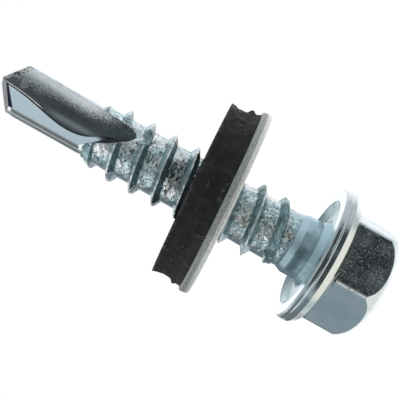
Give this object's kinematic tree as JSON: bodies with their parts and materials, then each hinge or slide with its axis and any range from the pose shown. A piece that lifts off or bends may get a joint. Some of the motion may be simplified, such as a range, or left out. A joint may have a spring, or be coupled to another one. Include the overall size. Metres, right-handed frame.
{
  "type": "self drilling screw",
  "caption": "Self-drilling screw with a hexagon flange head, a coarse thread, a fluted drill point and a loose bonded sealing washer on the shank.",
  "frame": {"origin": "centre of the flat end of the hexagon head, on which the screw stands", "axes": "+Z along the screw's axis, from the head to the drill tip; +X lies in the plane in which the washer is tilted, on the side where the washer stands higher"},
  "size_m": [0.0139, 0.0138, 0.03],
  "materials": {
    "zinc_steel": "blue-passivated zinc plating",
    "washer_steel": "bare zinc-coated sheet with a punched edge",
    "seal_rubber": "matt vulcanised rubber with a torn punched edge"
  },
  "bodies": {
    "screw": {"screw": "zinc_steel"},
    "washer": {"washer_plate": "washer_steel", "washer_seal": "seal_rubber"}
  },
  "joints": [
    {"name": "washer_slide", "type": "slide", "parent": "screw", "child": "washer", "axis": [0, 0, 1], "range_m": [-0.0062, 0.0075]}
  ]
}
